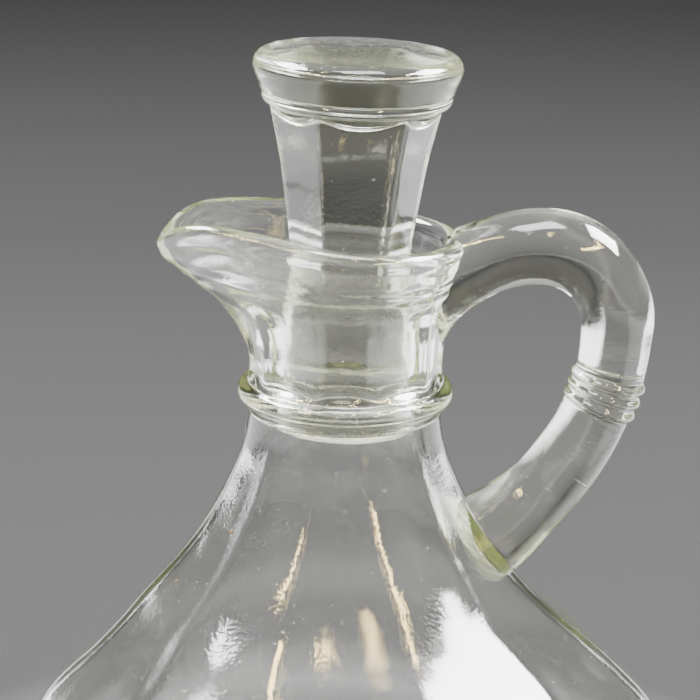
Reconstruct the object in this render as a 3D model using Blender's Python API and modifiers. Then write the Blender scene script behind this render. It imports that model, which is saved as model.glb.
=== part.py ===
"""A pressed glass cruet with its glass stopper, standing on the middle of its base.

The bottle, its ring, lip, spout and handle are one piece of glass.
The stopper is a second piece and sits in the neck.
The spout points along -X and the handle along +X.
Lengths below are in millimetres and become metres in the meshes.
"""

import math

import bmesh
import bpy
import numpy as np

MM = 0.001

# Heights over the table
TOTAL_HEIGHT = 152.0
RIM_CREST = 120.0
RING_MIDDLE = 91.9
BORE_TOP = 105.5
BORE_BOTTOM = 89.5
PLUG_END = 85.5
STOPPER_STEP = 143.1

# Radii from the axis
BODY_RADIUS = 59.8
FOOT_RADIUS = 46.0
RING_RADIUS = 19.1
NECK_RADIUS = 17.3
RIM_RADIUS = 20.4
BORE_RADIUS = 11.9
HEAD_RADIUS = 18.0
STEP_RADIUS = 15.7
PLUG_RADIUS = 11.3

# Glass thickness and small roundings
WALL = 3.3
BASE_THICKNESS = 5.0
PUSH_UP = 2.2
RIM_HALF_THICKNESS = 1.7
RING_HALF_HEIGHT = 2.0
HEAD_ROUNDING = 2.4
SHOULDER_STEP = 0.5
PLUG_BEVEL = 1.0
DIMPLE_RADIUS = 7.0
DIMPLE_DEPTH = 1.6

# The middle line of the rounded rim
RIM_LINE_RADIUS = RIM_RADIUS - RIM_HALF_THICKNESS
RIM_LINE_HEIGHT = RIM_CREST - RIM_HALF_THICKNESS

# The cutter of the hollow reaches over the rim, a little clear of its middle line
CUTTER_TOP = RIM_CREST + 20.0
CUTTER_RADIUS = RIM_LINE_RADIUS + 0.2
CUTTER_BOTTOM = RIM_CREST + 0.6

# Outlines as (radius, height): the body from the ring to the foot, the lip's soft rings, and the neck
BODY_STATIONS = [
    (17.0, 88.6), (18.1, 82.0), (20.7, 75.0), (24.2, 68.0), (28.8, 61.0), (34.3, 54.4),
    (40.0, 48.4), (45.7, 42.9), (51.2, 37.6), (55.9, 32.6), (58.8, 27.3), (BODY_RADIUS, 21.5),
    (59.1, 14.5), (56.0, 8.4), (51.8, 3.6),
]
LIP_STATIONS = [(19.7, 115.4), (19.0, 113.9), (19.1, 113.1), (18.4, 112.1), (18.5, 111.2), (17.9, 110.3)]
NECK_STATIONS = [(17.6, 108.4), (17.35, 105.0), (NECK_RADIUS, 101.0), (17.2, 97.5), (17.1, 95.0)]
FUNNEL_STATIONS = [(15.8, 114.6), (14.0, 111.0), (12.5, 108.0)]

# The stopper's shank as (radius, height, share of its panels)
SHANK_STATIONS = [
    (15.1, 142.0, 0.0), (14.7, 140.6, 0.35), (14.2, 138.6, 1.0), (13.4, 135.0, 1.0), (12.5, 129.8, 1.0),
    (11.6, 124.0, 1.0), (10.9, 119.0, 1.0), (10.6, 114.0, 0.9), (10.6, 110.4, 0.4),
]

# The neck stands a little off the body's middle, away from the handle, and the stopper sits a little crooked
NECK_SHIFT = -2.0
SHIFT_BOTTOM = 40.0
SHIFT_TOP = 54.0
STOPPER_LEAN = math.radians(1.2)
LEAN_HEIGHT = 97.0

# The spout is the rim drawn out along -X
SPOUT_REACH = 12.9
SPOUT_SPREAD = math.radians(31.5)
SPOUT_LIFT = 4.1
LIFT_SPREAD = math.radians(85.0)
TIP_DROOP = 4.6
TIP_SPREAD = math.radians(13.0)
SPOUT_ROOT = 98.0
SPOUT_FULL = 116.0
SPOUT_SWEEP = 1.5
LIFT_BOTTOM = 108.0
CHANNEL_FLOOR = 3.2

# Flat panels round the bottle and round the stopper's shank
BOTTLE_PANELS = 10
BODY_PANEL_DEPTH = 0.55
NECK_PANEL_DEPTH = 1.0
SHANK_PANELS = 6
SHANK_TURN = math.radians(5.0)
SHANK_PANEL_DEPTH = 0.85

# Heights between which the body's panels fade out, above the foot and under the ring
PANELS_FROM = 6.0
PANELS_FULL = 20.0
PANELS_FADING = 54.0
PANELS_GONE = 88.0

# The handle is a round rod, here as (distance from the axis, height, radius) from neck to shoulder
ROD_STATIONS = [
    (9.6, 102.2, 7.2), (11.0, 104.9, 7.1), (13.5, 108.8, 7.0), (17.0, 112.4, 6.9), (20.8, 114.9, 6.8),
    (25.2, 116.9, 6.5), (31.0, 118.4, 6.65), (35.6, 118.5, 6.75), (40.0, 117.2, 6.75), (43.8, 114.3, 6.6),
    (46.2, 110.6, 6.5), (47.5, 106.6, 6.45), (47.5, 102.3, 6.25), (47.0, 97.2, 6.1), (46.0, 92.9, 6.1),
    (44.5, 88.7, 6.1), (42.5, 84.1, 6.2), (39.4, 78.8, 6.35), (35.8, 74.1, 6.45), (32.2, 70.2, 6.9),
    (28.7, 66.9, 7.6), (25.0, 63.8, 8.2),
]
ROUTE_SAMPLES = 3000
ROD_SPACING = 3.6
ROD_BEVEL = 7

# A band of three ridges goes round the rod
BAND_MIDDLE = 92.4
BAND_LENGTH = 6.4
BAND_RADIUS = 6.85
BAND_GROOVE = 0.75
BAND_RIDGES = 3
BAND_EDGE = 0.4

# The rod's upper foot is taller than it is wide where it runs into the neck
UPPER_FOOT_OVER = 94.75
FOOT_SQUEEZE = 0.78
FOOT_SQUEEZE_FROM = 27.0
FOOT_SQUEEZE_TO = 17.0

# How finely the pieces are divided
BOTTLE_STEPS = 50
BODY_ROWS = 27
STOPPER_STEPS = 42
WELD_DISTANCE = 0.00001
SMOOTH_UP_TO = math.radians(40.0)


def arc(middle_radius, middle_height, size_r, size_z, start, end, count):
    """Points of a round stretch of an outline, with its two half sizes and its angles in degrees."""
    angles = np.radians(np.linspace(start, end, count))
    radii = middle_radius + size_r * np.cos(angles)
    heights = middle_height + size_z * np.sin(angles)
    return list(zip(radii.tolist(), heights.tolist()))


def rim_arc(start, end, count):
    """Points round the rim's section between two angles in degrees."""
    return arc(RIM_LINE_RADIUS, RIM_LINE_HEIGHT, RIM_HALF_THICKNESS, RIM_HALF_THICKNESS, start, end, count)


def plain(outline):
    """The outline's points as rows with no share of the panels."""
    return [(r, z, 0.0) for r, z in outline]


def smooth_curve(stations, count):
    """A smooth curve of count points through the stations, by Catmull-Rom stretches of even parameter."""
    points = np.array(stations, float)
    padded = np.vstack([2 * points[0] - points[1], points, 2 * points[-1] - points[-2]])
    at = np.linspace(0.0, len(points) - 1.0, count)
    index = np.minimum(at.astype(int), len(points) - 2)
    t = (at - index)[:, None]
    p0, p1, p2, p3 = (padded[index + k] for k in range(4))
    straight = 2 * p1 + (p2 - p0) * t
    bend = (2 * p0 - 5 * p1 + 4 * p2 - p3) * t**2
    turn = (3 * p1 - p0 - 3 * p2 + p3) * t**3
    return 0.5 * (straight + bend + turn)


def offset_inwards(outline, thickness):
    """An outline moved sideways towards the axis by the glass thickness."""
    points = np.array(outline, float)
    along = np.gradient(points, axis=0)
    along /= np.linalg.norm(along, axis=1)[:, None]
    return points + thickness * np.stack([along[:, 1], -along[:, 0]], axis=1)


def body_curve():
    """The body's outside from under the ring to just over the foot."""
    return smooth_curve(BODY_STATIONS, BODY_ROWS)


def outside_outline():
    """Rows of (radius, height, spout share, panel share) down the outside of the bottle."""
    rows = [(0.0, RIM_CREST, 0.0)]
    rows += plain(rim_arc(90, -40, 5))
    rows += plain(LIP_STATIONS)
    rows += [(r, z, NECK_PANEL_DEPTH) for r, z in NECK_STATIONS]
    rows += plain(arc(NECK_RADIUS, RING_MIDDLE, RING_RADIUS - NECK_RADIUS, RING_HALF_HEIGHT, 78, -78, 5))
    rows += [(r, z, body_panel_share(z)) for r, z in body_curve()]
    rows += plain([(FOOT_RADIUS + 1.4, 0.5), (FOOT_RADIUS, 0.0), (FOOT_RADIUS - 3.0, 0.0)])
    rows += plain([(FOOT_RADIUS - 6.0, 1.0), (24.0, PUSH_UP), (0.0, PUSH_UP + 0.4)])
    return np.array([(r, z, spout_share(z), panels) for r, z, panels in rows])


def hollow_outline():
    """The same rows for the hollow: over the rim, down the funnel and the bore, and out to the wall."""
    inside = offset_inwards(body_curve(), WALL)
    floor = PUSH_UP + BASE_THICKNESS
    lowest = floor + 4.0
    highest = BORE_BOTTOM - 8.5
    rows = plain([(0.0, CUTTER_TOP), (CUTTER_RADIUS, CUTTER_TOP), (CUTTER_RADIUS, CUTTER_BOTTOM)])
    rows += plain(rim_arc(112, 195, 3))
    rows += plain(FUNNEL_STATIONS)
    rows += plain([(BORE_RADIUS, BORE_TOP), (BORE_RADIUS, 97.5), (BORE_RADIUS, BORE_BOTTOM)])
    rows += plain([(BORE_RADIUS + 0.8, BORE_BOTTOM - 1.2), (BORE_RADIUS + 1.7, BORE_BOTTOM - 4.5)])
    rows += [(r, z, body_panel_share(z)) for r, z in inside if lowest < z < highest]
    rows += plain([(45.0, floor + 0.2), (26.0, floor - 0.2), (0.0, floor)])
    return np.array([(r, z, spout_share(z - CHANNEL_FLOOR), panels) for r, z, panels in rows])


def body_panel_share(height):
    """How flat the body's broad panels are at a height: they fade out under the ring and above the foot."""
    rise = np.clip((height - PANELS_FROM) / (PANELS_FULL - PANELS_FROM), 0.0, 1.0)
    fall = np.clip((PANELS_GONE - height) / (PANELS_GONE - PANELS_FADING), 0.0, 1.0)
    return float(BODY_PANEL_DEPTH * rise * fall)


def spout_share(height):
    """How far the spout is drawn out at a height: 0 at its root on the neck, 1 at the rim."""
    share = np.clip((height - SPOUT_ROOT) / (SPOUT_FULL - SPOUT_ROOT), 0.0, 1.0)
    return float(share**SPOUT_SWEEP)


def flatten(angle, count, depth):
    """The factor on a radius that turns a circle into flat panels, with a depth of 1 for quite flat ones."""
    half = math.pi / count
    from_middle = np.mod(angle + half, 2 * half) - half
    return 1.0 - depth * (1.0 - math.cos(half) / np.cos(from_middle))


def turned(name, outline, steps, collection):
    """A mesh object made by turning an outline of (radius, height), open at the axis, round the Z axis."""
    mesh = bpy.data.meshes.new(name + "_outline")
    points = [(r * MM, 0.0, z * MM) for r, z in outline]
    mesh.from_pydata(points, [(i, i + 1) for i in range(len(points) - 1)], [])
    helper = bpy.data.objects.new(name + "_outline", mesh)
    collection.objects.link(helper)
    screw = helper.modifiers.new("Turn", "SCREW")
    screw.axis = "Z"
    screw.steps = steps
    screw.render_steps = steps
    screw.use_merge_vertices = True
    screw.merge_threshold = WELD_DISTANCE
    return baked(name, helper, collection)


def baked(name, helper, collection):
    """The helper's evaluated shape as a mesh object of its own, with the helper removed."""
    graph = bpy.context.evaluated_depsgraph_get()
    mesh = bpy.data.meshes.new_from_object(helper.evaluated_get(graph))
    mesh.name = name
    result = bpy.data.objects.new(name, mesh)
    result.matrix_world = helper.matrix_world.copy()
    collection.objects.link(result)
    bpy.data.objects.remove(helper, do_unlink=True)
    welded = bmesh.new()
    welded.from_mesh(mesh)
    bmesh.ops.remove_doubles(welded, verts=welded.verts, dist=WELD_DISTANCE)
    bmesh.ops.recalc_face_normals(welded, faces=welded.faces)
    welded.to_mesh(mesh)
    welded.free()
    return result


def coordinates(obj):
    """The object's points as an array in millimetres."""
    flat = np.empty(len(obj.data.vertices) * 3, np.float32)
    obj.data.vertices.foreach_get("co", flat)
    return flat.reshape(-1, 3).astype(float) / MM


def set_coordinates(obj, points):
    """Puts an array in millimetres back into the object's points."""
    obj.data.vertices.foreach_set("co", (points * MM).astype(np.float32).ravel())
    obj.data.update()


def shape_bottle(obj, rows):
    """Presses the panels into the turned bottle and draws its rim out into the spout."""
    points = coordinates(obj)
    radius = np.hypot(points[:, 0], points[:, 1])
    angle = np.arctan2(points[:, 1], points[:, 0])
    gaps = np.hypot(radius[:, None] - rows[:, 0], points[:, 2][:, None] - rows[:, 1])
    spout, panels = rows[gaps.argmin(axis=1), 2:].T
    from_spout = np.abs(np.abs(angle) - math.pi)

    radius = radius * flatten(angle + math.pi / 2, BOTTLE_PANELS, panels)
    radius = radius + SPOUT_REACH * spout * np.exp(-((from_spout / SPOUT_SPREAD) ** 2))
    near_rim = np.clip((points[:, 2] - LIFT_BOTTOM) / (RIM_CREST - LIFT_BOTTOM), 0.0, 1.0)
    lift = SPOUT_LIFT * np.exp(-((from_spout / LIFT_SPREAD) ** 2))
    droop = TIP_DROOP * np.exp(-((from_spout / TIP_SPREAD) ** 2))
    height = points[:, 2] + near_rim * (lift - droop)
    set_coordinates(obj, np.stack([radius * np.cos(angle), radius * np.sin(angle), height], axis=1))


def shift_neck(obj):
    """Moves what is over the shoulder sideways with the neck."""
    points = coordinates(obj)
    share = np.clip((points[:, 2] - SHIFT_BOTTOM) / (SHIFT_TOP - SHIFT_BOTTOM), 0.0, 1.0)
    points[:, 0] += NECK_SHIFT * share**2 * (3.0 - 2.0 * share)
    set_coordinates(obj, points)


def handle_route():
    """The rod's middle line from inside the neck to inside the shoulder, with its radius at each point."""
    fine = smooth_curve(ROD_STATIONS, ROUTE_SAMPLES)
    steps = np.linalg.norm(np.diff(fine[:, :2], axis=0), axis=1)
    travel = np.concatenate([[0.0], np.cumsum(steps)])
    past_top = fine[:, 0].argmax()
    band_middle = travel[past_top + np.abs(fine[past_top:, 1] - BAND_MIDDLE).argmin()]
    band_start = band_middle - BAND_LENGTH / 2
    band_end = band_middle + BAND_LENGTH / 2
    before = np.linspace(0.0, band_start - BAND_EDGE, round(band_start / ROD_SPACING))
    in_band = np.linspace(band_start, band_end, 4 * BAND_RIDGES + 1)
    after = np.linspace(band_end + BAND_EDGE, travel[-1], round((travel[-1] - band_end) / ROD_SPACING))
    at = np.concatenate([before, in_band, after])
    route = np.stack([np.interp(at, travel, fine[:, k]) for k in range(3)], axis=1)
    wave = np.cos(np.linspace(-math.pi, math.pi * (2 * BAND_RIDGES - 1), len(in_band)))
    route[len(before):len(before) + len(in_band), 2] = BAND_RADIUS - BAND_GROOVE * (1.0 - wave) / 2
    return route


def make_handle(collection):
    """The handle: a rod bent in the XZ plane, whose upper foot is taller than it is wide."""
    curve = bpy.data.curves.new("handle_rod", "CURVE")
    curve.dimensions = "3D"
    curve.bevel_depth = MM
    curve.bevel_resolution = ROD_BEVEL
    curve.use_fill_caps = True
    route = handle_route()
    spline = curve.splines.new("POLY")
    spline.points.add(len(route) - 1)
    for point, (x, z, radius) in zip(spline.points, route):
        point.co = (x * MM, 0.0, z * MM, 1.0)
        point.radius = radius
    helper = bpy.data.objects.new("handle_rod", curve)
    collection.objects.link(helper)
    handle = baked("handle", helper, collection)
    points = coordinates(handle)
    share = np.clip((FOOT_SQUEEZE_FROM - points[:, 0]) / (FOOT_SQUEEZE_FROM - FOOT_SQUEEZE_TO), 0.0, 1.0)
    upper = points[:, 2] > UPPER_FOOT_OVER
    points[:, 1] *= np.where(upper, 1.0 - (1.0 - FOOT_SQUEEZE) * share, 1.0)
    set_coordinates(handle, points)
    return handle


def add_boolean(target, other, operation):
    """Fuses a helper into the object or cuts it away, and keeps the helper as a wire that isn't rendered."""
    boolean = target.modifiers.new(operation.title(), "BOOLEAN")
    boolean.operation = operation
    boolean.solver = "EXACT"
    boolean.object = other
    other.hide_render = True
    other.display_type = "WIRE"


def stopper_outline():
    """Rows of (radius, height, panel share) of the stopper from its top to its hollow end."""
    flat = HEAD_RADIUS - HEAD_ROUNDING
    head_middle = TOTAL_HEIGHT - HEAD_ROUNDING
    rows = plain([(0.0, TOTAL_HEIGHT), (HEAD_RADIUS / 2, TOTAL_HEIGHT)])
    rows += plain(arc(flat, head_middle, HEAD_ROUNDING, HEAD_ROUNDING, 90, -20, 6))
    rows += plain([(STEP_RADIUS, STOPPER_STEP), (STEP_RADIUS - SHOULDER_STEP, STOPPER_STEP - SHOULDER_STEP)])
    rows += [(r, z, SHANK_PANEL_DEPTH * share) for r, z, share in SHANK_STATIONS]
    rows += plain([(PLUG_RADIUS - 0.2, 108.4), (PLUG_RADIUS, 107.4), (PLUG_RADIUS - 0.1, 97.0)])
    rows += plain([(PLUG_RADIUS - 0.2, PLUG_END + PLUG_BEVEL), (PLUG_RADIUS - 0.5, PLUG_END + 0.3)])
    rows += plain([(PLUG_RADIUS - 1.2, PLUG_END), (DIMPLE_RADIUS, PLUG_END)])
    rows += plain([(DIMPLE_RADIUS - 1.0, PLUG_END + 0.8 * DIMPLE_DEPTH), (0.0, PLUG_END + DIMPLE_DEPTH)])
    return np.array(rows)


def shape_stopper(obj, rows):
    """Presses the flat panels into the stopper's shank and leans the stopper towards the handle."""
    points = coordinates(obj)
    radius = np.hypot(points[:, 0], points[:, 1])
    angle = np.arctan2(points[:, 1], points[:, 0])
    gaps = np.hypot(radius[:, None] - rows[:, 0], points[:, 2][:, None] - rows[:, 1])
    panels = rows[gaps.argmin(axis=1), 2]
    radius = radius * flatten(angle + math.pi / 2 - SHANK_TURN, SHANK_PANELS, panels)
    x = radius * np.cos(angle)
    z = points[:, 2] - LEAN_HEIGHT
    leaned_x = x * math.cos(STOPPER_LEAN) + z * math.sin(STOPPER_LEAN)
    leaned_z = z * math.cos(STOPPER_LEAN) - x * math.sin(STOPPER_LEAN) + LEAN_HEIGHT
    set_coordinates(obj, np.stack([leaned_x, radius * np.sin(angle), leaned_z], axis=1))


def glass(name, tint, roughness):
    """A clear glass with a pale tint."""
    material = bpy.data.materials.new(name)
    material.use_nodes = True
    shader = material.node_tree.nodes["Principled BSDF"]
    shader.inputs["Base Color"].default_value = tint
    shader.inputs["Roughness"].default_value = roughness
    shader.inputs["Metallic"].default_value = 0.0
    shader.inputs["IOR"].default_value = 1.5
    shader.inputs["Transmission Weight"].default_value = 1.0
    return material


def finish(obj, material):
    """Gives the object its glass and shades its round faces smooth."""
    obj.data.materials.clear()
    obj.data.materials.append(material)
    obj.data.shade_smooth()
    obj.data.set_sharp_from_angle(angle=SMOOTH_UP_TO)


def clear_scene():
    """Removes every object of the scene that the script starts in."""
    for obj in list(bpy.data.objects):
        bpy.data.objects.remove(obj, do_unlink=True)


def main():
    clear_scene()
    parts = bpy.data.collections.new("Glass cruet")
    helpers = bpy.data.collections.new("Helpers")
    bpy.context.scene.collection.children.link(parts)
    bpy.context.scene.collection.children.link(helpers)

    outside_rows = outside_outline()
    bottle = turned("bottle", outside_rows[:, :2], BOTTLE_STEPS, parts)
    shape_bottle(bottle, outside_rows)
    hollow_rows = hollow_outline()
    hollow = turned("hollow", hollow_rows[:, :2], BOTTLE_STEPS, helpers)
    shape_bottle(hollow, hollow_rows)
    handle = make_handle(helpers)
    for piece in (bottle, hollow, handle):
        shift_neck(piece)
    add_boolean(bottle, handle, "UNION")
    add_boolean(bottle, hollow, "DIFFERENCE")
    finish(bottle, glass("Pale green glass", (0.93, 0.97, 0.93, 1.0), 0.02))

    stopper_rows = stopper_outline()
    stopper = turned("stopper", stopper_rows[:, :2], STOPPER_STEPS, parts)
    shape_stopper(stopper, stopper_rows)
    shift_neck(stopper)
    finish(stopper, glass("Clear glass", (0.95, 0.97, 0.95, 1.0), 0.03))


main()
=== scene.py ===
"""The looks of a pressed glass cruet with its stopper.

The spout points along -X and the handle along +X.
Outlines are in millimetres and become metres in the meshes.
"""

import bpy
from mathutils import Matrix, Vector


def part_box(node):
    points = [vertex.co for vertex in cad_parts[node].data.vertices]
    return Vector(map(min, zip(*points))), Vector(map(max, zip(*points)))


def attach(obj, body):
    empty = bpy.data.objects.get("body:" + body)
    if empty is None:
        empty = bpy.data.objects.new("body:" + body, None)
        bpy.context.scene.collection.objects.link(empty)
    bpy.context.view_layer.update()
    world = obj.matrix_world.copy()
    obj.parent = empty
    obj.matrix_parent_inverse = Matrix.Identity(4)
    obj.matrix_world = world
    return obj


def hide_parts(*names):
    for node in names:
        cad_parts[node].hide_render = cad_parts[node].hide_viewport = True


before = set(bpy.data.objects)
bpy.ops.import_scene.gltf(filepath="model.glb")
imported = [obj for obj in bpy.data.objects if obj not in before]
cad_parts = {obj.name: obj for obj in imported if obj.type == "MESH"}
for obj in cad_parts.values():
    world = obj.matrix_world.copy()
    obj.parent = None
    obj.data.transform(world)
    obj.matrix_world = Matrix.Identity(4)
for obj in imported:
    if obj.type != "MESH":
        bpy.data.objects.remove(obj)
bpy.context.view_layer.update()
body_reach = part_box("bottle")[1][0]

import math

import bpy
import numpy as np
from bpy.props import FloatProperty, FloatVectorProperty, IntProperty, PointerProperty
from mathutils import Matrix, Vector

bl_info = {
    "name": "Pressed glass cruet",
    "version": (1, 0, 0),
    "blender": (4, 5, 0),
    "location": "View3D > Sidebar > Cruet",
    "description": "Builds a pressed glass cruet with its stopper, residue and stage",
    "category": "Add Mesh",
}

# Metres in a millimetre. The lengths from here to the dried specks are in millimetres.
MM = 0.001

# How finely outlines are drawn, and their softening as the width of a bell in steps
ARC_POINTS = 41
OUTLINE_SPACING = 0.2
ROUTE_SPACING = 0.1
BOTTLE_SPACING = 0.08
BOTTLE_SOFTENING = 4.0
STOPPER_SPACING = 0.05
STOPPER_SOFTENING = 2.4

# The surfaces' rows as (finest spacing, coarsest spacing, turn of the outline from row to row)
BOTTLE_ROWS = (0.26, 1.7, math.radians(5.0))
STOPPER_ROWS = (0.12, 0.9, math.radians(6.0))

# The points of the rim's arc that belong to the outside, and the heights between which the body has a wall
RIM_OUTSIDE_POINTS = 24
WALL_HEIGHTS = (11.2, 81.0)

# The handle's rod as (distance from the axis, height, radius) from neck to shoulder
ROD_STATIONS = [
    (9.6, 102.2, 7.2), (11.0, 104.9, 7.1), (13.5, 108.8, 7.0), (17.0, 112.4, 6.9), (20.8, 114.9, 6.8),
    (25.2, 116.9, 6.5), (31.0, 118.4, 6.65), (35.6, 118.5, 6.75), (40.0, 117.2, 6.75), (43.8, 114.3, 6.6),
    (46.2, 110.6, 6.5), (47.5, 106.6, 6.45), (47.5, 102.3, 6.25), (47.0, 97.2, 6.1), (46.0, 92.9, 6.1),
    (44.5, 88.7, 6.1), (42.5, 84.1, 6.2), (39.4, 78.8, 6.35), (35.8, 74.1, 6.45), (32.2, 70.2, 6.9),
    (28.7, 66.9, 7.6), (25.0, 63.8, 8.2),
]
ROD_COLUMNS = 56
ROD_ROW_SPACING = 0.7
BAND_MIDDLE = 92.4
BAND_HALF_LENGTH = 3.4
BAND_RIDGES = 3.0
BAND_GROOVE = 0.75
BAND_ROWS_REACH = 5.0
BAND_ROW_SPACING = 0.22
BAND_SOFTENING = 2.5

# The rod's upper foot is taller than it is wide where it runs into the neck
UPPER_FOOT_OVER = 94.0
FOOT_SQUEEZE = 0.22
FOOT_SQUEEZE_FROM = 27.0
FOOT_SQUEEZE_LENGTH = 10.0

# Heights between which the neck moves sideways, and the heights and spreads of the spout
SHIFT_HEIGHTS = (40.0, 54.0)
SPOUT_ROOT = 98.0
SPOUT_RISE = 18.0
SPOUT_SWEEP = 1.5
SPOUT_SPREAD = math.radians(31.5)
SPOUT_SOFTENING = 6.0
SPOUT_GRID = (80.0, 140.0, 0.1)
LIFT_SPREAD = math.radians(85.0)
LIFT_HEIGHTS = (108.0, 121.0)
TIP_SPREAD = math.radians(13.0)
CHANNEL_FLOOR = 3.2

# Heights between which the bottle's panels come and go
BOTTLE_COLUMNS = 216
BOTTLE_PANEL_ROUNDING = math.radians(3.5)
NECK_PANELS_COME = (94.4, 96.2)
NECK_PANELS_GO = (108.6, 110.4)
BODY_PANELS_COME = (6.0, 20.0)
BODY_PANELS_GONE = 88.0
BODY_PANELS_FADE = 34.0

# The stopper's shank, its flare under the collar and the height about which the stopper leans
STOPPER_COLUMNS = 216
SHANK_TOP = 143.1
SHANK_SHARE = 0.94
SHANK_PANELS_COME = (108.8, 113.5)
SHANK_PANELS_GO = (142.7, SHANK_TOP)
SHANK_PANEL_ROUNDING = math.radians(5.0)
FLARE_RADIUS = 13.0
FLARE_HEIGHT = 141.2
FLARE_SLOPE = 1.14
FLARE_OVER = 130.0
FLARE_BLEND = 0.35
LEAN_HEIGHT = 97.0

# Dried specks as (name, place, direction out of the glass, half length)
RESIDUE = (
    ("residue_upper", (-21.33, -13.10, 69.41), (-0.76, -0.45, 0.47), 0.42),
    ("residue_lower", (-31.32, -8.52, 57.90), (-0.75, -0.23, 0.62), 0.32),
)
RESIDUE_HALF_THICKNESS = 0.22
SPECK_ROWS = 12
SPECK_COLUMNS = 28
CRUST_SHADE = 0.45

# The glass. Lengths are in metres from here on. The stopper's tint is a share of the bottle's.
SHARP_FROM = math.radians(38.0)
GLASS_IOR = 1.51
GLASS_BOUNCES = 24
STOPPER_TINT = 0.7
DUST_RARITY = 0.86
DUST_ROUGHNESS = 0.6
SCUFFED_DEPTH = 0.0005
SCUFF_FADE = 0.0003
GROUND_DEPTH = 0.0005
GROUND_FADE = 0.0004

# Places of a mix node's two colours among its inputs and of its result among its outputs
COLOUR_A, COLOUR_B, MIXED_COLOUR = 6, 7, 2

# The floor is flat up to a radius, turns up in a quarter circle and rises to a height
FLOOR_FLAT = 1.6
FLOOR_TURN = 0.6
WALL_TOP = 1.5
FLOOR_COLUMNS = 96
FLOOR_TURN_ROWS = 13

# The grey paper as (distance from the cruet, tone), half the width that it gains for each metre behind and
# before the cruet, and the edges of the pale table beside it and of the pale wall in front
PAPER_REACH = 2.6
# The first tone, 2.4 times the paper's grey out to 75 mm, is a painted pool of light on the paper under and
# just round the cruet's foot, where light through the glass would fall.
PAPER_TONES_WITH_PAINTED_POOL = ((0.075, 2.4), (0.1, 1.05), (0.5, 0.94), (1.2, 1.43), (1.5, 2.2), (2.0, 5.4), (2.3, 7.0))
PAPER_WIDENS_BEHIND = 0.3
PAPER_WIDENS_BEFORE = -0.5
TABLE_EDGE = (0.066, 0.10)
TABLE_END = (0.5, 0.8)
FRONT_WALL_PLACE = (-0.62, -0.5)

# The room's even light, an area light's watts per square metre for each unit of brightness, and its aim
ROOM_LIGHT = (0.6, 0.6, 0.6, 1.0)
WATTS_FOR_RADIANCE = 4.0
AIM_HEIGHT = 0.07


class BottleSizes(bpy.types.PropertyGroup):
    """Sizes of the bottle, its lip, spout, ring and handle."""

    body_radius: FloatProperty(
        name="Body radius", description="Largest radius of the body",
        default=body_reach, unit="LENGTH")
    rim_crest: FloatProperty(
        name="Rim height", description="Height of the rim away from the spout",
        default=0.120, unit="LENGTH")
    rim_radius: FloatProperty(
        name="Rim radius", description="Outer radius of the rim away from the spout",
        default=0.0204, unit="LENGTH")
    rim_half: FloatProperty(
        name="Rim rounding", description="Half the thickness of the rolled rim",
        default=0.0017, unit="LENGTH")
    neck_radius: FloatProperty(
        name="Neck radius", description="Radius of the neck over its panel edges",
        default=0.0173, unit="LENGTH")
    ring_radius: FloatProperty(
        name="Ring radius", description="Outer radius of the ring under the neck",
        default=0.0191, unit="LENGTH")
    ring_height: FloatProperty(
        name="Ring height", description="Height of the ring's middle",
        default=0.0919, unit="LENGTH")
    bore_radius: FloatProperty(
        name="Bore radius", description="Radius of the bore that takes the plug",
        default=0.0119, unit="LENGTH")
    wall: FloatProperty(
        name="Wall", description="Glass thickness of the body",
        default=0.0033, unit="LENGTH")
    spout_reach: FloatProperty(
        name="Spout reach", description="How far the spout is drawn past the rim",
        default=0.0129, unit="LENGTH")
    spout_lift: FloatProperty(
        name="Spout lift", description="How much higher the rim is along the spout",
        default=0.0041, unit="LENGTH")
    tip_droop: FloatProperty(
        name="Tip droop", description="How far the very tip hangs below the spout",
        default=0.0046, unit="LENGTH")
    neck_shift: FloatProperty(
        name="Neck shift", description="Sideways place of the neck over the body",
        default=-0.0020, unit="LENGTH")
    panels: IntProperty(
        name="Panels", description="Flat panels round the body and the neck",
        default=10, min=3)
    body_panel_depth: FloatProperty(
        name="Body panel depth", description="How flat the body's panels are",
        default=0.55, subtype="FACTOR")
    band_radius: FloatProperty(
        name="Band radius", description="Radius of the handle over its ridges",
        default=0.00685, unit="LENGTH")


class StopperSizes(bpy.types.PropertyGroup):
    """Sizes of the stopper."""

    top: FloatProperty(
        name="Top", description="Height of the stopper's flat top",
        default=0.1520, unit="LENGTH")
    head_radius: FloatProperty(
        name="Head radius", description="Radius of the head",
        default=0.0180, unit="LENGTH")
    plug_radius: FloatProperty(
        name="Plug radius", description="Radius of the plug in the bore",
        default=0.0113, unit="LENGTH")
    plug_end: FloatProperty(
        name="Plug end", description="Height of the plug's lower end",
        default=0.0855, unit="LENGTH")
    lean: FloatProperty(
        name="Lean", description="How crooked the stopper sits",
        default=math.radians(1.2), subtype="ANGLE")
    panels: IntProperty(
        name="Panels", description="Flat panels round the shank",
        default=6, min=3)
    panel_turn: FloatProperty(
        name="Panel turn", description="Turn of the shank's panels",
        default=math.radians(5.0), subtype="ANGLE")


class GlassLook(bpy.types.PropertyGroup):
    """Colours and surface of the glass."""

    bottle_depth_colour: FloatVectorProperty(
        name="Bottle depth colour", description="Colour that thick glass in the bottle takes on",
        default=(0.82, 0.90, 0.45), size=3, subtype="COLOR", min=0.0, max=1.0)
    stopper_depth_colour: FloatVectorProperty(
        name="Stopper depth colour", description="Colour that thick glass in the stopper takes on",
        default=(0.82, 0.90, 0.45), size=3, subtype="COLOR", min=0.0, max=1.0)
    depth_density: FloatProperty(
        name="Depth", description="How fast the glass takes on its depth colour",
        default=12.0, min=0.0)
    residue_colour: FloatVectorProperty(
        name="Residue colour", description="Colour of the dried specks on the body",
        default=(0.1, 0.045, 0.008), size=3, subtype="COLOR", min=0.0, max=1.0)


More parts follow.
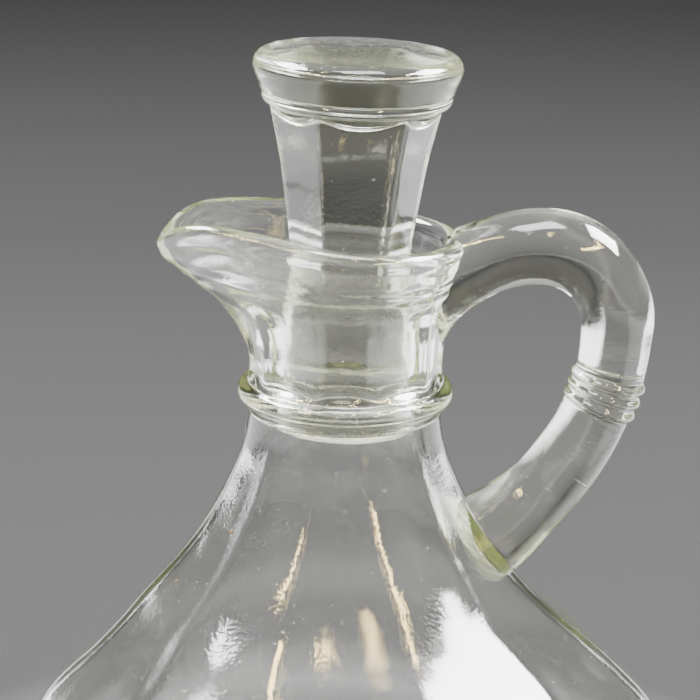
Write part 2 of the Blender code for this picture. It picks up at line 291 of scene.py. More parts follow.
class StageLook(bpy.types.PropertyGroup):
    """Floor, lights and camera."""

    table: FloatVectorProperty(
        name="Table", description="Colour of the pale table at both sides of the grey paper",
        default=(0.24, 0.25, 0.265), size=3, subtype="COLOR", min=0.0, max=1.0)
    paper: FloatVectorProperty(
        name="Backdrop paper", description="Colour of the grey paper behind the cruet",
        default=(0.0178, 0.0178, 0.0186), size=3, subtype="COLOR", min=0.0, max=1.0)
    front: FloatVectorProperty(
        name="Front wall", description="Colour of the wall behind the camera",
        default=(0.46, 0.465, 0.47), size=3, subtype="COLOR", min=0.0, max=1.0)
    softbox_radiance: FloatProperty(
        name="Softboxes", description="Brightness of the two high side softboxes",
        default=90.0, min=0.0)
    overhead_radiance: FloatProperty(
        name="Overhead light", description="Brightness of the light overhead",
        default=26.0, min=0.0)
    lamp_radiance: FloatProperty(
        name="Warm lamps", description="Brightness of the small warm lamps",
        default=130.0, min=0.0)


def smooth_line(stations, spacing):
    """A natural cubic spline through the stations, on the length of the straight legs between them."""
    points = np.array(stations, float)
    at = np.concatenate([[0.0], np.cumsum(np.linalg.norm(np.diff(points, axis=0), axis=1))])
    gaps = np.diff(at)
    inner = np.arange(1, len(points) - 1)
    system = np.eye(len(points))
    system[inner, inner - 1] = gaps[:-1]
    system[inner, inner] = 2.0 * (gaps[:-1] + gaps[1:])
    system[inner, inner + 1] = gaps[1:]
    bends = np.zeros_like(points)
    bends[1:-1] = 6.0 * np.diff(np.diff(points, axis=0) / gaps[:, None], axis=0)
    bends = np.linalg.solve(system, bends)
    t = np.linspace(0.0, at[-1], round(at[-1] / spacing) + 1)
    leg = np.clip(np.searchsorted(at, t) - 1, 0, len(points) - 2)
    ahead = (at[leg + 1] - t)[:, None]
    behind = (t - at[leg])[:, None]
    gap = gaps[leg][:, None]
    curve = (bends[leg] * ahead**3 + bends[leg + 1] * behind**3) / (6.0 * gap)
    start = points[leg] / gap - bends[leg] * gap / 6.0
    end = points[leg + 1] / gap - bends[leg + 1] * gap / 6.0
    return curve + start * ahead + end * behind


def arc(middle, size, start, end):
    """Points along a round stretch: the middle plus the two half sizes times cosine and sine."""
    angles = np.radians(np.linspace(start, end, ARC_POINTS))
    return np.stack([middle[0] + size[0] * np.cos(angles), middle[1] + size[1] * np.sin(angles)], axis=1)


def travel_along(line):
    """Length along a line at each of its points."""
    return np.concatenate([[0.0], np.cumsum(np.linalg.norm(np.diff(line[:, :2], axis=0), axis=1))])


def resample(line, spacing):
    """The same line with points at even steps of its length."""
    travel = travel_along(line)
    at = np.linspace(0.0, travel[-1], round(travel[-1] / spacing) + 1)
    return np.stack([np.interp(at, travel, column) for column in line.T], axis=1)


def soften(values, width):
    """Values along a line averaged with a bell of the given width in steps, both ends held in place."""
    reach = int(4 * width) + 1
    steps = np.arange(-reach, reach + 1)
    bell = np.exp(-0.5 * (steps / width) ** 2)
    bell /= bell.sum()
    first = 2.0 * values[0] - values[reach:0:-1]
    last = 2.0 * values[-1] - values[-2:-reach - 2:-1]
    padded = np.concatenate([first, values, last])
    return np.stack([np.convolve(column, bell, mode="valid") for column in padded.T], axis=1)


def spread_rows(line, finest, coarsest, turn):
    """The line with its points close together where it bends: each step turns by about the given angle."""
    travel = travel_along(line)
    heading = np.unwrap(np.arctan2(*np.gradient(line[:, :2], axis=0).T))
    bend = np.abs(np.gradient(heading, travel))
    reach = 8
    window = 2 * reach + 1
    bend = np.convolve(np.pad(bend, reach, mode="edge"), np.ones(window) / window, mode="valid")
    step = np.clip(turn / np.maximum(bend, 1e-6), finest, coarsest)
    count_so_far = np.concatenate([[0.0], np.cumsum(np.diff(travel) / step[1:])])
    at = np.interp(np.linspace(0.0, count_so_far[-1], int(count_so_far[-1]) + 1), count_so_far, travel)
    return np.stack([np.interp(at, travel, column) for column in line.T], axis=1)


def smoothstep(values, low, high):
    """0 below low, 1 above high, and 3 t squared minus 2 t cubed between."""
    t = np.clip((values - low) / (high - low), 0.0, 1.0)
    return t * t * (3.0 - 2.0 * t)


def panel_dip(angles, count, rounding):
    """How far in a regular polygon's sides lie from its circle, as a share of the radius.

    It is 1 - cos(half a side) / cos(turn from the side's middle), averaged over the rounding angle so that
    the edges are soft.
    """
    half = math.pi / count
    dip = np.zeros_like(angles)
    offsets = np.linspace(-1.0, 1.0, 9)
    weights = np.exp(-2.0 * offsets**2)
    for offset, weight in zip(offsets, weights / weights.sum()):
        turn = np.mod(angles + offset * rounding + half, 2.0 * half) - half
        dip += weight * (1.0 - math.cos(half) / np.cos(turn))
    return dip


def closed_mesh(name, rings, first_tip, last_tip):
    """A closed mesh from rings of points and two tips: squares between the rings and fans at the tips."""
    rows, columns = rings.shape[:2]
    points = np.concatenate([rings.reshape(-1, 3), [first_tip, last_tip]])
    ring = np.arange(rows - 1)[:, None] * columns
    column = np.arange(columns)[None, :]
    following = (column + 1) % columns
    above = ring + columns
    squares = np.stack([ring + column, ring + following, above + following, above + column], axis=-1)
    last = (rows - 1) * columns
    first_fan = np.stack([following[0], column[0], np.full(columns, rows * columns)], axis=-1)
    last_tip_index = np.full(columns, rows * columns + 1)
    last_fan = np.stack([last + column[0], last + following[0], last_tip_index], axis=-1)
    squares = squares.reshape(-1, 4)
    triangles = np.concatenate([squares[:, [0, 1, 2]], squares[:, [0, 2, 3]], first_fan, last_fan])
    volume = np.einsum("ij,ij->i", points[triangles[:, 0]],
                       np.cross(points[triangles[:, 1]], points[triangles[:, 2]])).sum()
    faces = squares.tolist() + first_fan.tolist() + last_fan.tolist()
    if volume < 0:
        faces = [face[::-1] for face in faces]
    mesh = bpy.data.meshes.new(name)
    mesh.from_pydata((points * MM).tolist(), [], faces)
    mesh.update()
    return mesh


def new_object(name, mesh):
    """An object with the mesh, at the origin and in the scene."""
    piece = bpy.data.objects.new(name, mesh)
    bpy.context.scene.collection.objects.link(piece)
    return piece


def fuse(name, mesh, other_mesh):
    """One solid from two that overlap."""
    target = new_object(name, mesh)
    other = new_object(name + "_joined", other_mesh)
    union = target.modifiers.new("Fuse", "BOOLEAN")
    union.operation = "UNION"
    union.solver = "MANIFOLD"
    union.object = other
    graph = bpy.context.evaluated_depsgraph_get()
    fused = bpy.data.meshes.new_from_object(target.evaluated_get(graph))
    target.modifiers.remove(union)
    target.data = fused
    bpy.data.objects.remove(other, do_unlink=True)
    if len(fused.polygons) <= len(mesh.polygons):
        raise RuntimeError(f"{name}: the pieces did not fuse")
    return target


def spout_share(heights):
    """How far the spout is drawn out at a height: the share of its rise to the power of its sweep."""
    grid = np.arange(*SPOUT_GRID)
    share = np.clip((grid - SPOUT_ROOT) / SPOUT_RISE, 0.0, 1.0) ** SPOUT_SWEEP
    return np.interp(heights, grid, soften(share[:, None], SPOUT_SOFTENING)[:, 0])


def body_line(sizes):
    """The body's outside from under the ring to just over the foot, in millimetres."""
    widest = sizes.body_radius / MM
    stations = [
        (17.0, 88.6), (18.1, 82.0), (20.7, 75.0), (24.2, 68.0), (28.8, 61.0), (34.3, 54.4), (40.0, 48.4),
        (45.7, 42.9), (51.2, 37.6), (55.9, 32.6), (widest - 1.0, 27.3), (widest, 21.5),
        (widest - 0.7, 14.5), (56.0, 8.4), (51.8, 3.6),
    ]
    return smooth_line(stations, OUTLINE_SPACING)


def bottle_line(sizes):
    """Rows of (radius, height, inside) from the base up the outside, over the rim and down the inside."""
    rim_half = sizes.rim_half / MM
    rim_middle = (sizes.rim_radius / MM - rim_half, sizes.rim_crest / MM - rim_half)
    neck = sizes.neck_radius / MM
    ring = sizes.ring_height / MM
    bore = sizes.bore_radius / MM
    body = body_line(sizes)

    base = [(0.0, 2.6), (24.0, 2.2), (40.0, 1.0), (43.0, 0.0), (46.0, 0.0), (47.4, 0.5)]
    ring_arc = arc((neck, ring), (sizes.ring_radius / MM - neck, 2.0), -78, 78)
    neck_side = [(17.1, 95.0), (17.2, 97.5), (neck, 101.0), (17.35, 105.0), (17.6, 108.4), (17.9, 110.3)]
    mouldings = [(18.5, 111.2), (18.4, 112.1), (19.1, 113.1), (19.0, 113.9), (19.7, 115.4)]
    rim = arc(rim_middle, (rim_half, rim_half), -40, 195)
    outside = np.vstack([base, body[::-1], ring_arc, neck_side, mouldings, rim[:RIM_OUTSIDE_POINTS]])

    along = np.gradient(body, axis=0)
    along /= np.linalg.norm(along, axis=1)[:, None]
    inner_body = body + sizes.wall / MM * np.stack([along[:, 1], -along[:, 0]], axis=1)
    lowest, highest = WALL_HEIGHTS
    inner_body = inner_body[(inner_body[:, 1] > lowest) & (inner_body[:, 1] < highest)]
    funnel = [(15.8, 114.6), (14.0, 111.0), (12.5, 108.0), (bore, 105.5), (bore, 97.5), (bore, 89.5)]
    under_bore = [(12.7, 88.3), (13.6, 85.0)]
    floor = [(45.0, 7.4), (26.0, 7.0), (0.0, 7.2)]
    inside = np.vstack([rim[RIM_OUTSIDE_POINTS:], funnel, under_bore, inner_body, floor])

    flagged = np.vstack([np.c_[outside, np.zeros(len(outside))], np.c_[inside, np.ones(len(inside))]])
    even = resample(flagged, BOTTLE_SPACING)
    even[:, :2] = soften(even[:, :2], BOTTLE_SOFTENING)
    even[:, 0] = np.maximum(even[:, 0], 0.0)
    return spread_rows(even, *BOTTLE_ROWS)


def shape_bottle(line, sizes, columns):
    """The bottle's surface: each row of the line turned round the axis.

    Its radius is less the panels' dip, plus the spout's reach times a bell of the angle from -X. Its rim is
    lifted along the spout and let down at the tip.
    """
    angles = np.linspace(0.0, 2.0 * math.pi, columns, endpoint=False)
    radius, height, inside = line.T
    from_spout = np.abs(angles - math.pi)
    bell = np.exp(-((from_spout / SPOUT_SPREAD) ** 2))
    neck_share = smoothstep(height, *NECK_PANELS_COME) * (1.0 - smoothstep(height, *NECK_PANELS_GO))
    neck_share *= 1.0 - inside
    body_share = smoothstep(height, *BODY_PANELS_COME)
    body_share *= np.clip((BODY_PANELS_GONE - height) / BODY_PANELS_FADE, 0.0, 1.0)
    body_share *= sizes.body_panel_depth
    share = np.maximum(neck_share, body_share)
    dip = panel_dip(angles + math.pi / 2.0, sizes.panels, BOTTLE_PANEL_ROUNDING)
    reach = sizes.spout_reach / MM * spout_share(height - CHANNEL_FLOOR * inside)
    surface = radius[:, None] * (1.0 - share[:, None] * dip[None, :]) + reach[:, None] * bell[None, :]
    lift = sizes.spout_lift / MM * np.exp(-((from_spout / LIFT_SPREAD) ** 2))
    droop = sizes.tip_droop / MM * np.exp(-((from_spout / TIP_SPREAD) ** 2))
    near_rim = smoothstep(height, *LIFT_HEIGHTS)
    raised = height[:, None] + near_rim[:, None] * (lift - droop)[None, :]
    return np.stack([surface * np.cos(angles), surface * np.sin(angles), raised], axis=-1)


def shift_neck(points, sizes):
    """Moves what is over the shoulder sideways with the neck, by a smooth step of the height."""
    points[..., 0] += sizes.neck_shift / MM * smoothstep(points[..., 2], *SHIFT_HEIGHTS)
    return points


def handle_rings(sizes, line):
    """The handle: a round rod along its route, with three ridges, a tall upper foot and a wide lower one.

    The ridges are a cosine of the travel from the band's middle, cut off at the band's ends.
    """
    route = smooth_line(ROD_STATIONS, ROUTE_SPACING)
    travel = travel_along(route)
    past_top = route[:, 0].argmax()
    middle = travel[past_top + np.abs(route[past_top:, 1] - BAND_MIDDLE).argmin()]
    from_middle = np.abs(travel - middle)
    wave = 0.5 + 0.5 * np.cos((travel - middle) * BAND_RIDGES * math.pi / BAND_HALF_LENGTH)
    ridge = sizes.band_radius / MM - BAND_GROOVE * (1.0 - wave)
    route[:, 2] = np.where(from_middle < BAND_HALF_LENGTH, ridge, route[:, 2])
    route[:, 2] = soften(route[:, 2:], BAND_SOFTENING)[:, 0]
    step = np.where(from_middle < BAND_ROWS_REACH, BAND_ROW_SPACING, ROD_ROW_SPACING)
    count_so_far = np.concatenate([[0.0], np.cumsum(np.diff(travel) / step[1:])])
    at = np.interp(np.arange(int(count_so_far[-1]) + 1), count_so_far, travel)
    x, z, radius = (np.interp(at, travel, column) for column in route.T)

    heading = np.stack([np.gradient(x), np.gradient(z)])
    heading /= np.linalg.norm(heading, axis=0)
    around = np.linspace(0.0, 2.0 * math.pi, ROD_COLUMNS, endpoint=False)
    out = radius[:, None] * np.cos(around)
    side = radius[:, None] * np.sin(around)
    rings = np.stack([x[:, None] - out * heading[1][:, None], side,
                      z[:, None] + out * heading[0][:, None]], axis=-1)
    towards_neck = np.clip((FOOT_SQUEEZE_FROM - rings[..., 0]) / FOOT_SQUEEZE_LENGTH, 0.0, 1.0)
    upper = rings[..., 2] > UPPER_FOOT_OVER
    rings[..., 1] *= np.where(upper, 1.0 - FOOT_SQUEEZE * towards_neck, 1.0)
    tips = np.array([[x[0], 0.0, z[0]], [x[-1], 0.0, z[-1]]])
    return stop_in_wall(rings, line), stop_in_wall(tips, line)


def stop_in_wall(points, line):
    """Points of the handle's ends that reach into the hollow, moved out to the middle of the glass wall."""
    inside = line[line[:, 2] > 0.5]
    outside = line[line[:, 2] < 0.5]
    inside = inside[np.argsort(inside[:, 1])]
    outside = outside[np.argsort(outside[:, 1])]
    height = points[..., 2]
    inner_radius = np.interp(height, inside[:, 1], inside[:, 0])
    outer_radius = np.interp(height, outside[:, 1], outside[:, 0])
    wall_middle = 0.5 * (inner_radius + outer_radius)
    distance = np.hypot(points[..., 0], points[..., 1])
    scale = np.maximum(distance, wall_middle) / np.maximum(distance, 1e-6)
    points[..., 0] *= scale
    points[..., 1] *= scale
    return points


def stopper_line(sizes):
    """Rows of (radius, height) from the middle of the stopper's top down to its dished end."""
    top = sizes.top / MM
    head = sizes.head_radius / MM
    plug = sizes.plug_radius / MM
    end = sizes.plug_end / MM
    crown = arc((head - 2.4, top - 2.4), (2.4, 2.4), 90, -20)
    groove = [(16.6, 145.3), (16.2, 144.95), (16.4, 144.45), (16.35, 143.9)]
    step = [(16.05, 143.35), (15.4, SHANK_TOP)]
    shank = smooth_line([
        (15.2, 142.9), (14.3, 138.8), (13.4, 135.0), (12.5, 129.8), (11.6, 124.0), (10.9, 119.0),
        (10.6, 114.0), (10.6, 110.4),
    ], OUTLINE_SPACING)
    lower = [
        (plug - 0.2, 108.4), (plug, 107.4), (plug - 0.1, 97.0), (plug - 0.2, end + 1.0),
        (plug - 0.5, end + 0.3), (plug - 1.2, end), (7.0, end), (6.0, end + 1.28), (0.0, end + 1.6),
    ]
    line = np.vstack([[(0.0, top)], crown, groove, step, shank, lower])
    even = soften(resample(line, STOPPER_SPACING), STOPPER_SOFTENING)
    even[:, 0] = np.maximum(even[:, 0], 0.0)
    return spread_rows(even, *STOPPER_ROWS)


def shape_stopper(line, sizes, columns):
    """The stopper's surface: a polygon's sides round the shank.

    The sides never lie inside the round flare under the collar, so each one ends in a curved line. The whole
    is then leaned about a point in the bore.
    """
    angles = np.linspace(0.0, 2.0 * math.pi, columns, endpoint=False)
    radius, height = line.T
    share = SHANK_SHARE * (1.0 - smoothstep(height, *SHANK_PANELS_GO))
    share *= smoothstep(height, *SHANK_PANELS_COME)
    dip = panel_dip(angles + math.pi / 2.0 - sizes.panel_turn, sizes.panels, SHANK_PANEL_ROUNDING)
    sides = radius[:, None] * (1.0 - share[:, None] * dip[None, :])
    flare = FLARE_RADIUS + (height - FLARE_HEIGHT) * FLARE_SLOPE
    in_shank = (height < SHANK_TOP) & (height > FLARE_OVER)
    flare = np.where(in_shank, flare, 0.0)
    larger = FLARE_BLEND * np.logaddexp(sides / FLARE_BLEND, flare[:, None] / FLARE_BLEND)
    surface = np.where(in_shank[:, None], larger, sides)
    surface = np.minimum(surface, radius[:, None])
    x = surface * np.cos(angles)
    z = np.broadcast_to(height[:, None], x.shape) - LEAN_HEIGHT
    cosine, sine = math.cos(sizes.lean), math.sin(sizes.lean)
    leaned_x = x * cosine + z * sine
    leaned_z = z * cosine - x * sine + LEAN_HEIGHT
    return np.stack([leaned_x, surface * np.sin(angles), leaned_z], axis=-1)


def add_node(tree, kind, place=(0, 0), **values):
    """A new node of the tree, with values for its inputs or, where it has no such input, for its settings."""
    node = tree.nodes.new(kind)
    node.location = place
    for key, value in values.items():
        if key in node.inputs:
            node.inputs[key].default_value = value
        else:
            setattr(node, key, value)
    return node


def map_range(tree, source, reach, result):
    """A value that goes from the first result to the second as the source goes through the reach."""
    node = tree.nodes.new("ShaderNodeMapRange")
    node.inputs["From Min"].default_value, node.inputs["From Max"].default_value = reach
    node.inputs["To Min"].default_value, node.inputs["To Max"].default_value = result
    tree.links.new(source, node.inputs["Value"])
    return node.outputs["Result"]


def arithmetic(tree, operation, first, second=None):
    """One step of arithmetic on a node's output and, where it has one, a number or another output."""
    node = add_node(tree, "ShaderNodeMath", operation=operation)
    tree.links.new(first, node.inputs[0])
    if isinstance(second, float):
        node.inputs[1].default_value = second
    elif second is not None:
        tree.links.new(second, node.inputs[1])
    return node.outputs["Value"]


def mix_colours(tree, share, first, colour):
    """The first colour where the share is 0 and the second, a plain one, where it is 1."""
    node = add_node(tree, "ShaderNodeMix", data_type="RGBA")
    tree.links.new(share, node.inputs["Factor"])
    tree.links.new(first, node.inputs[COLOUR_A])
    node.inputs[COLOUR_B].default_value = (*colour, 1.0)
    return node.outputs[MIXED_COLOUR]


def distance_share(tree, place, reach, result=(0.0, 1.0)):
    """Goes from the first result to the second as the distance from the origin goes through the reach."""
    length = add_node(tree, "ShaderNodeVectorMath", operation="LENGTH")
    tree.links.new(place.outputs["Object"], length.inputs[0])
    return map_range(tree, length.outputs["Value"], reach, result)


def glass_material(name, depth_colour, density, scuffed_above=None, ground_below=None):
    """Clear pressed glass: slow waves and fine pits in its surface, a little haze and specks of dust.

    Where heights are given, it is scuffed from use above the one and ground below the other.
    """
    material = bpy.data.materials.new(name)
    material.use_nodes = True
    tree = material.node_tree
    link = tree.links.new
    shader = tree.nodes["Principled BSDF"]
    shader.inputs["Base Color"].default_value = (1.0, 1.0, 1.0, 1.0)
    shader.inputs["Transmission Weight"].default_value = 1.0
    shader.inputs["IOR"].default_value = GLASS_IOR
    place = add_node(tree, "ShaderNodeTexCoord", (-1700, 0))
    pits = add_node(tree, "ShaderNodeTexNoise", (-1300, 300), Scale=1500.0, Detail=2.0, Roughness=0.6)
    waves = add_node(tree, "ShaderNodeTexNoise", (-1300, 0), Scale=110.0, Detail=1.0)
    haze = add_node(tree, "ShaderNodeTexNoise", (-1300, -300), Scale=160.0, Detail=4.0)
    dust = add_node(tree, "ShaderNodeTexVoronoi", (-1300, -600), Scale=620.0)
    for texture in (pits, waves, haze, dust):
        link(place.outputs["Object"], texture.inputs["Vector"])

    haze_range = map_range(tree, haze.outputs["Fac"], (0.45, 0.75), (0.0, 0.06))
    speck = map_range(tree, dust.outputs["Distance"], (0.07, 0.11), (1.0, 0.0))
    by_chance = add_node(tree, "ShaderNodeSeparateColor", (-1000, -750))
    link(dust.outputs["Color"], by_chance.inputs["Color"])
    some = arithmetic(tree, "GREATER_THAN", by_chance.outputs["Red"], DUST_RARITY)
    dusty = arithmetic(tree, "MULTIPLY", arithmetic(tree, "MULTIPLY", speck, some), DUST_ROUGHNESS)
    roughness = arithmetic(tree, "ADD", dusty, haze_range)

    if scuffed_above is not None:
        height = add_node(tree, "ShaderNodeSeparateXYZ", (-1300, -950))
        link(place.outputs["Object"], height.inputs["Vector"])
        scuff_edge = (scuffed_above - SCUFF_FADE, scuffed_above)
        on_top = map_range(tree, height.outputs["Z"], scuff_edge, (0.0, 1.0))
        scuffs = add_node(tree, "ShaderNodeTexNoise", (-1300, -1200), Scale=900.0, Detail=5.0, Roughness=0.7)
        link(place.outputs["Object"], scuffs.inputs["Vector"])
        scuff_range = map_range(tree, scuffs.outputs["Fac"], (0.35, 0.65), (0.05, 0.28))
        ground_edge = (ground_below, ground_below + GROUND_FADE)
        at_bottom = map_range(tree, height.outputs["Z"], ground_edge, (0.9, 0.0))
        worn = arithmetic(tree, "MAXIMUM", arithmetic(tree, "MULTIPLY", scuff_range, on_top), at_bottom)
        roughness = arithmetic(tree, "MAXIMUM", roughness, worn)

    link(roughness, shader.inputs["Roughness"])
    wave_bump = add_node(tree, "ShaderNodeBump", (-700, 0), Strength=1.0, Distance=0.00016)
    pit_bump = add_node(tree, "ShaderNodeBump", (-450, 200), Strength=1.0, Distance=0.00002)
    link(waves.outputs["Fac"], wave_bump.inputs["Height"])
    link(pits.outputs["Fac"], pit_bump.inputs["Height"])
    link(wave_bump.outputs["Normal"], pit_bump.inputs["Normal"])
    link(pit_bump.outputs["Normal"], shader.inputs["Normal"])
    depth = add_node(tree, "ShaderNodeVolumeAbsorption", (-100, -700),
                     Color=(*depth_colour, 1.0), Density=density)
    link(depth.outputs["Volume"], tree.nodes["Material Output"].inputs["Volume"])
    return material


def finish_piece(piece, material, node):
    """Gives a glass piece its material, smooth shading and its place in the frame."""
    mesh = piece.data
    mesh.name = piece.name
    mesh.materials.clear()
    mesh.materials.append(material)
    mesh.shade_smooth()
    mesh.set_sharp_from_angle(angle=SHARP_FROM)
    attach(piece, "root")
    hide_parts(node)


class CRUET_OT_bottle(bpy.types.Operator):
    """Build the bottle with its lip, spout, ring and handle as one piece of glass"""

    bl_idname = "cruet.bottle"
    bl_label = "Bottle"

    def execute(self, context):
        sizes = context.scene.cruet_bottle
        look = context.scene.cruet_glass
        line = bottle_line(sizes)
        surface = shift_neck(shape_bottle(line[1:-1], sizes, BOTTLE_COLUMNS), sizes)
        body = closed_mesh("bottle_body", surface, (0.0, 0.0, line[0, 1]), (0.0, 0.0, line[-1, 1]))
        rings, tips = handle_rings(sizes, line)
        handle = closed_mesh("bottle_handle", shift_neck(rings, sizes), *shift_neck(tips, sizes))
        piece = fuse("cruet_bottle", body, handle)
        glass = glass_material("Pale green pressed glass", look.bottle_depth_colour, look.depth_density)
        finish_piece(piece, glass, "bottle")
        return {"FINISHED"}


class CRUET_OT_stopper(bpy.types.Operator):
    """Build the stopper with its round head, flat-sided shank and hollow-ended plug"""

    bl_idname = "cruet.stopper"
    bl_label = "Stopper"

    def execute(self, context):
        sizes = context.scene.cruet_stopper
        look = context.scene.cruet_glass
        line = stopper_line(sizes)
        surface = shape_stopper(line[1:-1], sizes, STOPPER_COLUMNS)
        tips = shape_stopper(line[[0, -1]] * (0.0, 1.0), sizes, STOPPER_COLUMNS)[:, 0]
        shifted = shift_neck(surface, context.scene.cruet_bottle)
        mesh = closed_mesh("cruet_stopper", shifted, *shift_neck(tips, context.scene.cruet_bottle))
        piece = new_object("cruet_stopper", mesh)
        density = look.depth_density * STOPPER_TINT
        glass = glass_material("Clear pressed glass", look.stopper_depth_colour, density,
                               sizes.top - SCUFFED_DEPTH, sizes.plug_end + GROUND_DEPTH)
        finish_piece(piece, glass, "stopper")
        return {"FINISHED"}


def speck(place, normal, half_length, half_thickness):
    """A dried speck: rings of a flattened ball on the surface, its reach wavy by two sines of the angle."""
    away = np.array(normal, float) / np.linalg.norm(normal)
    side = np.cross(away, (0.0, 0.0, 1.0))
    side /= np.linalg.norm(side)
    down = np.cross(away, side)
    rise = np.linspace(-0.5 * math.pi, 0.5 * math.pi, SPECK_ROWS)[1:-1]
    turn = np.linspace(0.0, 2.0 * math.pi, SPECK_COLUMNS, endpoint=False)
    reach = half_length * (1.0 + 0.18 * np.sin(2.0 * turn + 0.6) + 0.10 * np.sin(5.0 * turn))
    across = np.cos(rise)[:, None] * (reach * np.cos(turn))[None, :]
    along = 1.3 * np.cos(rise)[:, None] * (reach * np.sin(turn))[None, :]
    out = half_thickness * np.sin(rise)[:, None] * np.ones_like(turn)
    rings = np.array(place) + across[..., None] * side + along[..., None] * down + out[..., None] * away
    tips = np.array(place) + np.array([[-half_thickness], [half_thickness]]) * away
    return rings, tips


def residue_material(colour):
    """A dried brown crust, darker and duller in spots."""
    material = bpy.data.materials.new("Dried residue")
    material.use_nodes = True
    tree = material.node_tree
    shader = tree.nodes["Principled BSDF"]
    place = add_node(tree, "ShaderNodeTexCoord", (-900, 0))
    grain = add_node(tree, "ShaderNodeTexNoise", (-700, 0), Scale=2600.0, Detail=3.0)
    tree.links.new(place.outputs["Object"], grain.inputs["Vector"])
    tones = add_node(tree, "ShaderNodeMix", (-300, 0), data_type="RGBA")
    tones.inputs[COLOUR_A].default_value = (*(CRUST_SHADE * channel for channel in colour), 1.0)
    tones.inputs[COLOUR_B].default_value = (*colour, 1.0)
    tree.links.new(grain.outputs["Fac"], tones.inputs["Factor"])
    tree.links.new(tones.outputs[MIXED_COLOUR], shader.inputs["Base Color"])
    dullness = map_range(tree, grain.outputs["Fac"], (0.3, 0.7), (0.45, 0.8))
    tree.links.new(dullness, shader.inputs["Roughness"])
    return material


class CRUET_OT_residue(bpy.types.Operator):
    """Put the two dried specks on the body"""

    bl_idname = "cruet.residue"
    bl_label = "Residue"

    def execute(self, context):
        material = residue_material(context.scene.cruet_glass.residue_colour)
        for name, place, normal, half_length in RESIDUE:
            rings, tips = speck(place, normal, half_length, RESIDUE_HALF_THICKNESS)
            piece = new_object(name, closed_mesh(name, rings, *tips))
            piece.data.materials.append(material)
            piece.data.shade_smooth()
            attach(piece, "root")
        return {"FINISHED"}


class CRUET_OT_stage(bpy.types.Operator):
    """Set the floor, the lights, the camera and how far light is followed through the glass"""

    bl_idname = "cruet.stage"
    bl_label = "Stage"

    def execute(self, context):
        look = context.scene.cruet_stage
        make_floor(look)
        make_lights(look)
        make_world()
        make_camera()
        follow_light_through_glass(context.scene.cycles)
        return {"FINISHED"}


def follow_light_through_glass(paths):
    """Lets light be turned back many times inside the ring, the lip and the thick edges before it leaves."""
    paths.max_bounces = GLASS_BOUNCES
    paths.glossy_bounces = GLASS_BOUNCES
    paths.transmission_bounces = GLASS_BOUNCES


def make_floor(look):
    """A plain floor that turns up into a wall all round: growing rings, a quarter circle and a rise."""
    turn_up = np.radians(np.linspace(0.0, 90.0, FLOOR_TURN_ROWS))[1:]
    turned_radius = FLOOR_FLAT + FLOOR_TURN * np.sin(turn_up)
    turned_height = FLOOR_TURN - FLOOR_TURN * np.cos(turn_up)
    radius = np.concatenate([[0.5, 1.0, FLOOR_FLAT], turned_radius, [FLOOR_FLAT + FLOOR_TURN]])
    height = np.concatenate([[0.0, 0.0, 0.0], turned_height, [WALL_TOP]])
    angles = np.linspace(0.0, 2.0 * math.pi, FLOOR_COLUMNS, endpoint=False)
    level = np.broadcast_to(height[:, None], (len(radius), FLOOR_COLUMNS))
    rings = np.stack([radius[:, None] * np.cos(angles), radius[:, None] * np.sin(angles), level], axis=-1)
    column = np.arange(FLOOR_COLUMNS)
    following = (column + 1) % FLOOR_COLUMNS
    start = np.arange(len(radius) - 1)[:, None] * FLOOR_COLUMNS
    above = start + FLOOR_COLUMNS
    squares = np.stack([start + column, start + following, above + following, above + column], axis=-1)
    faces = squares.reshape(-1, 4)[:, ::-1].tolist() + [column.tolist()]
    mesh = bpy.data.meshes.new("floor")
    mesh.from_pydata(rings.reshape(-1, 3).tolist(), [], faces)
    mesh.shade_smooth()
    mesh.materials.append(floor_material(look))
    new_object("floor", mesh)


def floor_material(look):
    """Grey paper under and behind the cruet, a pale table at both sides of it and a pale wall far in front.

    The paper's tone goes by distance from the cruet's axis, lighter right round the foot as a painted pool of
    light. The paper widens with the distance along Y.
    """
    material = bpy.data.materials.new("Plain backdrop paper")
    material.use_nodes = True
    tree = material.node_tree
    shader = tree.nodes["Principled BSDF"]
    shader.inputs["Roughness"].default_value = 0.9
    shader.inputs["Specular IOR Level"].default_value = 0.0
    place = add_node(tree, "ShaderNodeTexCoord", (-1300, 0))
    # The ramp's lightest tone next to the axis is a painted pool of light round the cruet's foot.
    paper = add_node(tree, "ShaderNodeValToRGB", (-500, 200))
    stops = paper.color_ramp.elements
    while len(stops) < len(PAPER_TONES_WITH_PAINTED_POOL):
        stops.new(0.5)
    for stop, (distance, tone) in zip(stops, PAPER_TONES_WITH_PAINTED_POOL):
        stop.position = distance / PAPER_REACH
        stop.color = (*(tone * channel for channel in look.paper), 1.0)
    tree.links.new(distance_share(tree, place, (0.0, PAPER_REACH)), paper.inputs["Fac"])

    axes = add_node(tree, "ShaderNodeSeparateXYZ", (-1100, -300))
    tree.links.new(place.outputs["Object"], axes.inputs["Vector"])
    sideways = arithmetic(tree, "ABSOLUTE", axes.outputs["X"])
    behind = arithmetic(tree, "MULTIPLY", axes.outputs["Y"], PAPER_WIDENS_BEHIND)
    before = arithmetic(tree, "MULTIPLY", axes.outputs["Y"], PAPER_WIDENS_BEFORE)
    half_width = arithmetic(tree, "MAXIMUM", behind, before)
    beside = map_range(tree, arithmetic(tree, "SUBTRACT", sideways, half_width), TABLE_EDGE, (0.0, 1.0))
    near = distance_share(tree, place, TABLE_END, (1.0, 0.0))
    on_table = arithmetic(tree, "MULTIPLY", beside, near)
    in_front = map_range(tree, axes.outputs["Y"], FRONT_WALL_PLACE, (1.0, 0.0))
    with_table = mix_colours(tree, on_table, paper.outputs["Color"], look.table)
    with_front = mix_colours(tree, in_front, with_table, look.front)
    tree.links.new(with_front, shader.inputs["Base Color"])
    return material


